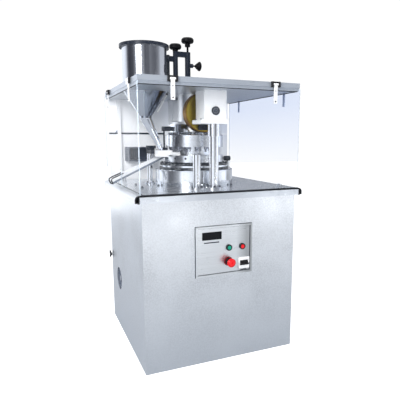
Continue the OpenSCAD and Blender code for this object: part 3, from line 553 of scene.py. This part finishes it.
# ---------------------------------------------------------------- pieces
class Shape:
    """Collects mesh parts, given in millimetres, and makes one piece of them."""

    def __init__(self):
        self.form = bmesh.new()

    def ring(self, centre, across, up, radii):
        """A loop of points round a centre, one for each radius."""
        loop = []
        for i, radius in enumerate(radii):
            turn = 2 * math.pi * i / len(radii)
            right, high = radius * math.cos(turn), radius * math.sin(turn)
            loop.append(self.form.verts.new(centre + across * right + up * high))
        return loop

    def rings_along(self, at, along, levels):
        """Rings for (radii, height) pairs, square to a line from at towards along."""
        line = Vector(along).normalized()
        across = line.orthogonal().normalized()
        up = line.cross(across)
        return [self.ring(Vector(at) + line * height, across, up, radii) for radii, height in levels]

    def skin(self, rings, closed=True):
        """Faces between neighbouring rings. Closed adds a face at the first and the last ring."""
        for low, high in zip(rings, rings[1:]):
            for i in range(len(low)):
                j = (i + 1) % len(low)
                self.form.faces.new((low[i], low[j], high[j], high[i]))
        if closed:
            self.form.faces.new(list(reversed(rings[0])))
            self.form.faces.new(rings[-1])

    def lathe(self, at, along, profile, steps=32):
        """A profile of (radius, height) pairs turned round a line from at towards along."""
        self.skin(self.rings_along(at, along, [([radius] * steps, height) for radius, height in profile]))
        return self

    def tube_ring(self, at, along, inner, outer, depth, steps=40):
        """A flat ring with chamfered rims."""
        soft = min(0.6, depth / 3)
        profile = [(inner, 0), (outer, 0), (outer, depth - soft), (outer - soft, depth),
                   (inner + soft, depth), (inner, depth - soft), (inner, 0)]
        levels = [([radius] * steps, height) for radius, height in profile]
        self.skin(self.rings_along(at, along, levels), closed=False)
        return self

    def socket_screw(self, at, along, radius, height, steps=24):
        """A cap screw's head with a hexagonal socket."""
        side, rim = [radius] * steps, [radius * 0.86] * steps
        turns = [math.radians((360 * i / steps) % 60 - 30) for i in range(steps)]
        hexagon = [radius * 0.5 / math.cos(turn) for turn in turns]
        levels = [(side, 0), (side, height * 0.82), (rim, height)]
        levels += [(hexagon, height), (hexagon, height * 0.45)]
        self.skin(self.rings_along(at, along, levels))
        return self

    def dome_screw(self, at, along, radius, height):
        """A round-headed screw."""
        profile = [(radius, 0), (radius, height * 0.25), (radius * 0.86, height * 0.62),
                   (radius * 0.55, height * 0.90), (radius * 0.18, height)]
        return self.lathe(at, along, profile, 20)

    def prism(self, outline, low, high, axis="Z"):
        """An outline extruded along an axis. Its points are the other two axes in XYZ order."""
        def loop(level):
            corners = [list(pair) for pair in outline]
            for corner in corners:
                corner.insert("XYZ".index(axis), level)
            return [self.form.verts.new(corner) for corner in corners]

        self.skin([loop(low), loop(high)])
        return self

    def block(self, low, high):
        """A box between two corners."""
        outline = [(low[0], low[1]), (high[0], low[1]), (high[0], high[1]), (low[0], high[1])]
        return self.prism(outline, low[2], high[2])

    def sweep(self, path, radius, steps=10):
        """A round bar along a line of points."""
        points = [Vector(place) for place in path]
        rings, across = [], None
        for i, point in enumerate(points):
            ahead = (points[min(i + 1, len(points) - 1)] - points[max(i - 1, 0)]).normalized()
            square = across - ahead * across.dot(ahead) if across else ahead.orthogonal()
            across = square.normalized()
            rings.append(self.ring(point, across, ahead.cross(across), [radius] * steps))
        self.skin(rings)
        return self

    def done(self, name, material, body, slot, soften=0.0, smooth=True):
        """Makes the piece in metres. With soften, in millimetres, its sharp edges are rounded."""
        bmesh.ops.recalc_face_normals(self.form, faces=self.form.faces)
        bmesh.ops.scale(self.form, vec=(MM, MM, MM), verts=self.form.verts)
        mesh = bpy.data.meshes.new(name)
        self.form.to_mesh(mesh)
        self.form.free()
        mesh.materials.append(material)
        if smooth:
            mesh.shade_smooth()
            mesh.set_sharp_from_angle(angle=SMOOTH_ANGLE)
        piece = bpy.data.objects.new(name, mesh)
        bpy.context.scene.collection.objects.link(piece)
        if soften:
            round_edges(piece, soften)
        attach(piece, body)


def tallest_part(form):
    """The indices of the vertices of the tallest of a mesh's separate parts."""
    form.verts.index_update()
    left = set(form.verts)
    parts = []
    while left:
        reach, part = [left.pop()], set()
        while reach:
            vert = reach.pop()
            part.add(vert)
            near = [edge.other_vert(vert) for edge in vert.link_edges]
            reach.extend(other for other in near if other in left)
            left.difference_update(near)
        parts.append(part)

    def tall(part):
        heights = [vert.co.z for vert in part]
        return max(heights) - min(heights)

    return {vert.index for vert in max(parts, key=tall)}


def split_pane(node, axis, acrylic):
    """A window's sheet and its hinge straps as two pieces that stand for the CAD node.

    The sheet's faces across the axis are clear, and its narrow edges are pale.
    """
    source = frame["nodes"][node]
    body = body_of(source)[0]
    form = bmesh.new()
    form.from_mesh(source.data)
    form.transform(source.matrix_world)
    bmesh.ops.remove_doubles(form, verts=form.verts, dist=1e-6)
    sheet = tallest_part(form)
    made = []
    for name, keep in ((f"{node}_sheet", True), (f"{node}_straps", False)):
        copy = form.copy()
        drop = [vert for vert in copy.verts if (vert.index in sheet) != keep]
        bmesh.ops.delete(copy, geom=drop, context="VERTS")
        bmesh.ops.dissolve_limit(copy, angle_limit=FLAT_ANGLE, verts=copy.verts, edges=copy.edges)
        mesh = bpy.data.meshes.new(name)
        copy.to_mesh(mesh)
        copy.free()
        piece = bpy.data.objects.new(name, mesh)
        bpy.context.scene.collection.objects.link(piece)
        if keep:
            mesh.materials.append(acrylic)
            mesh.materials.append(acrylic_edge)
            for face in mesh.polygons:
                face.material_index = 0 if abs(face.normal[axis]) > 0.7 else 1
        else:
            mesh.materials.append(strap_steel)
            round_edges(piece, 0.5)
        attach(piece, body)
        made.append(piece)
    form.free()
    for piece in made:
        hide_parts(node)


split_pane("front_window", 1, clear_acrylic)
split_pane("left_window", 0, clear_acrylic)
split_pane("right_window", 0, tinted_acrylic)


def paint_faces(node, material, test):
    """Gives a second material to those faces of a CAD node whose middle and normal pass a test, in mm."""
    piece = frame["nodes"][node]
    piece.data.materials.append(material)
    place = piece.matrix_world
    for face in piece.data.polygons:
        if test(place @ face.center / MM, place.to_3x3() @ face.normal):
            face.material_index = 1


paint_faces("feeder_bracket", machined, lambda at, normal: at.x > 100 and at.z < 921.5)
# Painted shade: the chute's outer side darkens along its lower edge
chute_side = edge_shaded_sheet("chute_side", (0.90, 0.91, 0.93), (0.20, 0.23, 0.28), 0.4475, 1.0165, 1.0185)
paint_faces("discharge_chute", chute_side, lambda at, normal: normal.y < -0.8 and at.z < 957)
paint_faces("edge_rail", side_rail_steel, lambda at, normal: abs(at.x) > 371.5 and abs(normal.y) < 0.5)
paint_faces("window_hinges", strap_steel, lambda at, normal: at.x < -380 and at.y < 0 and at.z < 1282)

# Places in the CAD frame, in millimetres
FRAME = "machine_frame"
TABLE_Z = 805.0
COVER_Z = 1287
PANEL_Y = -377.0
STATIONS = 16
DIE_SCREW_REACH = 145.4
DIE_SCREW_START = 8.5
DIE_SCREW_Z = 940
FRONT_HINGES = (-236, 248)
SIDE_HINGES = (-241, 252)
STRAP_SCREW_Z = 1201
STRAP_SCREW_GAP = 46
STRAP_PROUD = 2.4
DRUM_BOLTS = 6
DRUM_BOLT_REACH = 211
DRUM_BOLT_START = 12
WASHER = 1.6
TABLE_BOLTS = ((-303, -105), (-300, 40))
UP = (0, 0, 1)
TOWARDS_FRONT = (0, -1, 0)

# Two dark screws in each strap's lower part, in front of the sheet
for body, places, along in (
        ("window_front", [(x, -386.8, STRAP_SCREW_Z) for x in FRONT_HINGES], TOWARDS_FRONT),
        ("window_left", [(-384.8, y, STRAP_SCREW_Z) for y in SIDE_HINGES], (-1, 0, 0)),
        ("window_right", [(384.8, y, STRAP_SCREW_Z) for y in SIDE_HINGES], (1, 0, 0))):
    shape = Shape()
    for place in places:
        face = Vector(place) + Vector(along) * STRAP_PROUD
        shape.dome_screw(face, along, 3.6, 2.0)
        shape.dome_screw(face + Vector((0, 0, STRAP_SCREW_GAP)), along, 2.6, 1.6)
    shape.done(f"{body}_strap_screws", screw_steel, body, "bezel_black")

# Set screws that lock the dies, in the rim of the die table
shape = Shape()
for i in range(STATIONS):
    turn = math.radians(i * 360 / STATIONS + DIE_SCREW_START)
    out = Vector((math.cos(turn), math.sin(turn), 0))
    shape.socket_screw(out * DIE_SCREW_REACH + Vector((0, 0, DIE_SCREW_Z)), out, 5.2, 5.0)
shape.done("die_lock_screws", rim_paint, "turret", "die_steel")

# Foot bolts of the pillar, of two posts and of the drum, and two bolts in the table
shape = Shape()
for centre, reach, height, radius, count, start in (
        ((0, -259), 31, TABLE_Z + 9, 4.6, 6, 15),
        ((-80, -247), 26.5, TABLE_Z + 7, 3.8, 4, 20),
        ((-210, 95), 20.5, TABLE_Z + 7, 3.2, 4, 30),
        ((0, 0), DRUM_BOLT_REACH, TABLE_Z + WASHER, 5.0, DRUM_BOLTS, DRUM_BOLT_START)):
    for i in range(count):
        turn = math.radians(start + 360 * i / count)
        x = centre[0] + reach * math.cos(turn)
        y = centre[1] + reach * math.sin(turn)
        shape.socket_screw((x, y, height), UP, radius, radius * 1.1)
for x, y in TABLE_BOLTS:
    shape.socket_screw((x, y, TABLE_Z + WASHER), UP, 5.0, 6.0)
shape.done("foot_bolts", screw_steel, FRAME, "axle_steel")
drum_turns = [math.radians(DRUM_BOLT_START + 360 / DRUM_BOLTS * i) for i in range(DRUM_BOLTS)]
drum_bolts = [(DRUM_BOLT_REACH * math.cos(turn), DRUM_BOLT_REACH * math.sin(turn)) for turn in drum_turns]
shape = Shape()
for x, y in (*drum_bolts, *TABLE_BOLTS):
    shape.lathe((x, y, TABLE_Z), UP, [(8, 0), (8, 1.2), (7.4, WASHER)])
shape.done("foot_washers", bright_screw, FRAME, "pillar_chrome")

# Screws of the roller head and the feed frame
shape = Shape()
for y in (-262, -195):
    shape.socket_screw((-63.5, y, 1121), UP, 4.2, 4.4)
for x, y in ((-199, -58), (-199, 8), (-161, 8), (-143, 8)):
    shape.socket_screw((x, y, 980), UP, 3.4, 3.0)
shape.done("head_screws", screw_steel, FRAME, "axle_steel")

# Screws of the cover, and of the rear guard's lower and upper sheet
shape = Shape()
for x in (-360, -180, 0, 180, 360):
    for y in (-362, 356):
        shape.dome_screw((x, y, COVER_Z), UP, 4.0, 2.2)
for y in (-180, 0, 180):
    shape.dome_screw((360, y, COVER_Z), UP, 4.0, 2.2)
for x in (-345, 345):
    for y, z in ((374.5, 830), (374.5, 1040), (373.8, 1092), (373.8, 1232)):
        shape.dome_screw((x, y, z), (0, 1, 0), 3.8, 2.2)
shape.done("sheet_screws", bright_screw, FRAME, "hinge_steel")

# Dark joint strip and a small gusset on the inside of the rear guard
Shape().block((-366, 367.5, 1062), (-52, 371.9, 1071)).done(
    "guard_joint", stand_paint, FRAME, "bracket_black", 0.6, False)
Shape().prism([(-334, 1071), (-309, 1071), (-321, 1092)], 368.5, 371.9, "Y").done(
    "guard_gusset", cone_mirror, FRAME, "hinge_steel", 0.4, False)


def plate(name, x, z, thick, radius, material):
    """A blank plate with round corners on the control panel, between two places in X and in Z."""
    left, right = x[0] + radius, x[1] - radius
    low, high = z[0] + radius, z[1] - radius
    points = []
    for across, up, start in ((right, high, 0), (left, high, 90), (left, low, 180), (right, low, 270)):
        for step in range(7):
            turn = math.radians(start + 15 * step)
            points.append((across + radius * math.cos(turn), up + radius * math.sin(turn)))
    sheet = Shape().prism(points, PANEL_Y - thick, PANEL_Y, "Y")
    sheet.done(name, material, FRAME, "bezel_black", 0.25, False)


# Blank badge and blank labels on the control panel, and the emergency stop's red collar
plate("blank_badge", (-107, -12), (588, 624), 1.4, 3.0, badge_plastic)
plate("blank_label", (-98, -24), (573, 578), 0.5, 1.0, stand_paint)
plate("breaker_label", (84, 116), (431, 435), 0.5, 1.0, stand_paint)
Shape().tube_ring((22, PANEL_Y, 481), TOWARDS_FRONT, 15.9, 21.5, 3.0).done(
    "estop_collar", dark_red_plastic, FRAME, "button_red")

# Rubber edging round the lower end of the discharge chute. CHUTE_FALL is the chute's run in X and Y and
# its drop, and CHUTE_RUN, CHUTE_SIDE and CHUTE_RISE are its own axes.
CHUTE_TOP = Vector((-153, 46.7, 942.7))
CHUTE_FALL = (-280, -30, 126)
tilt = math.atan2(CHUTE_FALL[2], math.hypot(CHUTE_FALL[0], CHUTE_FALL[1]))
heading = math.atan2(CHUTE_FALL[1], CHUTE_FALL[0])
CHUTE_RUN = Vector((math.cos(tilt) * math.cos(heading),
                    math.cos(tilt) * math.sin(heading),
                    -math.sin(tilt)))
CHUTE_SIDE = Vector((-math.sin(heading), math.cos(heading), 0))
CHUTE_RISE = CHUTE_RUN.cross(CHUTE_SIDE)


def on_chute(run, side, rise):
    """A place on the chute, from how far down it, across it and above its floor it is."""
    return CHUTE_TOP + CHUTE_RUN * run + CHUTE_SIDE * side + CHUTE_RISE * rise


wall = [(230, 22.2), (288, 24.2), (296, 22), (299, 16), (299, 3)]
edging = [on_chute(run, -21, rise) for run, rise in wall]
edging += [on_chute(299, -18, -1), on_chute(299, 18, -1)]
edging += [on_chute(run, 21, rise) for run, rise in reversed(wall)]
Shape().sweep(edging, 2.8).done("chute_edging", black_rubber, FRAME, "seal_rubber")

# Sleeve behind the port in the left panel
Shape().tube_ring((-373.0, 173, 283), (1, 0, 0), 60.0, 61.2, 22.0, 64).done(
    "port_sleeve", panel_steel, FRAME, "cabinet_sheet")

# Locking ring and socket of the roller pin, on the front of the head block
Shape().tube_ring((0, -280, 1161), TOWARDS_FRONT, 13.5, 19.5, 5.0).tube_ring(
    (0, -283, 1161), TOWARDS_FRONT, 5.0, 8.5, 2.4, 24).done("pin_ring", screw_steel, FRAME, "axle_steel")

# Dark plate that hangs from the head's foot in front of the pressure roller: painted shade on the roller's
# lower face
Shape().block((-32, -152, 1077), (46, -146, 1103)).block((-32, -176, 1098), (46, -151, 1103)).done(
    "roller_shade_plate", rim_paint, FRAME, "bracket_black", 0.6, False)

# Bright rod with a dark end beside the hopper's cone: painted highlight along the cone's right edge
Shape().sweep([(-205, -52, 1162), (-184, -50, 1199), (-157, -47, 1246)], 3.6, 12).done(
    "cone_highlight_rod", strap_steel, "hopper_set", "hopper_steel")
Shape().lathe((-157, -47, 1246), (0.5, 0, 0.86), [(4.2, -1), (5.4, 0), (5.4, 5), (4.2, 6)], 20).done(
    "cone_highlight_rod_end", knob_plastic, "hopper_set", "knob_black")

# Dark strips round the control panel's frame and inside it, by their outer edges and their depth: the
# inner one is a gasket, the outer one painted shadow where the frame meets the cabinet
DARK_STRIP = 1.6
shape = Shape()
for left, right, low, high, face, back in (
        (-140.6, 143.6, 417.4, 652.6, -376.6, -375.0),
        (-130, 133, 428, 642, -378.2, -377.0)):
    shape.block((left, face, low), (left + DARK_STRIP, back, high))
    shape.block((right - DARK_STRIP, face, low), (right, back, high))
    shape.block((left + DARK_STRIP, face, low), (right - DARK_STRIP, back, low + DARK_STRIP))
    shape.block((left + DARK_STRIP, face, high - DARK_STRIP), (right - DARK_STRIP, back, high))
shape.done("panel_gasket_and_shadow", screw_steel, FRAME, "seal_rubber", 0, False)

# Thin dark strip under the front and side edges of the cover, just inside the windows: painted shadow of
# the gap between the cover and the windows
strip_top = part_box("top_cover")[0][2] / MM
strip_foot = strip_top - 2.6
shape = Shape()
shape.block((-373, -374, strip_foot), (373, -371, strip_top))
shape.block((-374, -371, strip_foot), (-371, 360, strip_top))
shape.block((371, -371, strip_foot), (374, 360, strip_top))
shape.done("cover_shadow_strip", black_rubber, FRAME, "seal_rubber", 0, False)

# Small clip left on the table at the right front
clip = Shape().block((314, -335, TABLE_Z), (333, -302, TABLE_Z + 9))
clip.block((318, -331, TABLE_Z + 9), (329, -306, TABLE_Z + 15))
clip.done("table_clip", machined, FRAME, "hinge_steel", 1.2, False)

# ---------------------------------------------------------------- studio
FLOOR_SIDE = 30.0
SCENE = bpy.context.scene
STUDIO_WHITE = (1.15, 1.15, 1.15)
# What the metal mirrors, as (share of the turn, brightness) from the front by the left, the rear and the
# right: on the far floor, at eye level and above it
LOW_BANDS = [
    (0.0, 0.50), (0.03, 1.4), (0.155, 1.8), (0.18, 0.60), (0.215, 0.22), (0.24, 0.03), (0.275, 0.03),
    (0.30, 1.0), (0.38, 1.7), (0.42, 0.80), (0.47, 0.30), (0.52, 0.20), (0.62, 0.85), (0.69, 0.60),
    (0.74, 0.25), (0.77, 1.7), (0.81, 1.7), (0.86, 1.2), (0.935, 1.0), (0.955, 0.10), (0.985, 0.06)]
LEVEL_BANDS = [
    (0.0, 0.40), (0.03, 0.70), (0.09, 1.0), (0.13, 1.7), (0.16, 1.3), (0.185, 0.08), (0.27, 0.04),
    (0.295, 0.25), (0.335, 2.0), (0.49, 2.0), (0.52, 0.85), (0.62, 0.65), (0.69, 0.70), (0.72, 1.9),
    (0.86, 1.3), (0.895, 0.70), (0.93, 0.45), (0.965, 0.08), (0.985, 0.15)]
HIGH_BANDS = [
    (0.0, 0.16), (0.03, 0.10), (0.06, 0.35), (0.085, 0.42), (0.105, 1.3), (0.145, 1.3), (0.165, 0.32),
    (0.20, 0.09), (0.27, 0.05), (0.30, 0.15), (0.33, 0.80), (0.37, 1.2), (0.52, 1.3), (0.55, 0.50),
    (0.60, 0.22), (0.68, 0.12), (0.71, 0.65), (0.79, 0.65), (0.83, 0.28), (0.88, 0.13), (0.92, 0.16),
    (0.96, 0.24), (0.985, 0.14)]


def make_floor():
    """White for the camera. In mirrors it is pale near the machine and carries the bands far from it."""
    mesh = bpy.data.meshes.new("floor")
    form = bmesh.new()
    bmesh.ops.create_grid(form, x_segments=2, y_segments=2, size=FLOOR_SIDE / 2)
    form.to_mesh(mesh)
    form.free()
    floor = bpy.data.objects.new("floor", mesh)
    SCENE.collection.objects.link(floor)
    look = Look("floor_white")
    clouds = look.noise(3.0, detail=3.0)
    seen = look.add("ShaderNodeLightPath").outputs["Is Camera Ray"]
    white = look.blend(clouds, (0.78, 0.785, 0.79), (0.82, 0.823, 0.826))
    reach = look.add("ShaderNodeVectorMath", operation="LENGTH")
    look.link(look.place, reach.inputs[0])
    far = look.spread(reach.outputs["Value"], 4.2, 6.0, 0, 1)
    mirrored = look.blend(far, (0.75, 0.775, 0.81), look.compass_bands(LOW_BANDS))
    look.colour(look.blend(seen, (0.16, 0.165, 0.175), white))
    look.link(look.blend(seen, mirrored, STUDIO_WHITE), look.shader.inputs["Emission Color"])
    look.constant(Roughness=0.7, Emission_Strength=0.62)
    mesh.materials.append(look.material)


def make_world():
    """White for the camera. What the metal mirrors is a studio with bands under a pale top."""
    world = bpy.data.worlds.new("studio")
    world.use_nodes = True
    SCENE.world = world
    sky = Nodes(world.node_tree)
    sky.place = sky.add("ShaderNodeTexCoord").outputs["Generated"]
    height = sky.along("Z")
    walls = sky.blend(sky.spread(height, 0.085, 0.105, 0, 1),
                      sky.compass_bands(LEVEL_BANDS), sky.compass_bands(HIGH_BANDS))
    around = sky.blend(sky.spread(height, 0.30, 0.9, 0, 1), walls, (0.85, 0.87, 0.9))
    seen = sky.add("ShaderNodeLightPath").outputs["Is Camera Ray"]
    background = world.node_tree.nodes["Background"]
    sky.link(sky.blend(seen, around, STUDIO_WHITE), background.inputs["Color"])
    background.inputs["Strength"].default_value = 0.9


def softbox(name, place, aim, size, power, mirrored=True):
    """A rectangular lamp that the camera doesn't see. Metal mirrors it only if mirrored is true."""
    light = bpy.data.lights.new(name, "AREA")
    light.shape = "RECTANGLE"
    light.size, light.size_y = size
    light.energy = power
    lamp = bpy.data.objects.new(name, light)
    lamp.location = place
    lamp.rotation_euler = (Vector(aim) - Vector(place)).to_track_quat("-Z", "Y").to_euler()
    lamp.visible_camera = False
    lamp.visible_glossy = mirrored
    SCENE.collection.objects.link(lamp)


make_floor()
make_world()
softbox("key", (-2.6, -2.6, 2.8), (0, 0, 0.8), (1.6, 2.2), 70)
softbox("fill", (3.0, -2.2, 1.8), (0, 0, 0.8), (1.2, 2.2), 38, False)
softbox("top", (0.2, 0.6, 3.4), (0, 0, 1.0), (2.4, 2.0), 30)
softbox("flash", (-1.05, -2.35, 1.30), (0, 0.1, 1.0), (0.5, 0.5), 18, False)
softbox("low_left", (0.50, -3.2, 0.27), (-0.3, -0.375, 0.7), (0.50, 0.22), 3.5)
softbox("low_right", (2.0, -3.2, 0.30), (0.3, -0.375, 0.72), (0.7, 0.25), 2.9)
softbox("low_rear", (-1.15, 3.2, 0.34), (-0.375, 0, 0.72), (0.9, 0.35), 1.9)
softbox("guard_wash", (-1.25, -1.30, 1.75), (-0.12, 0.37, 1.05), (0.6, 0.6), 15, False)
SCENE.view_settings.view_transform = "Standard"
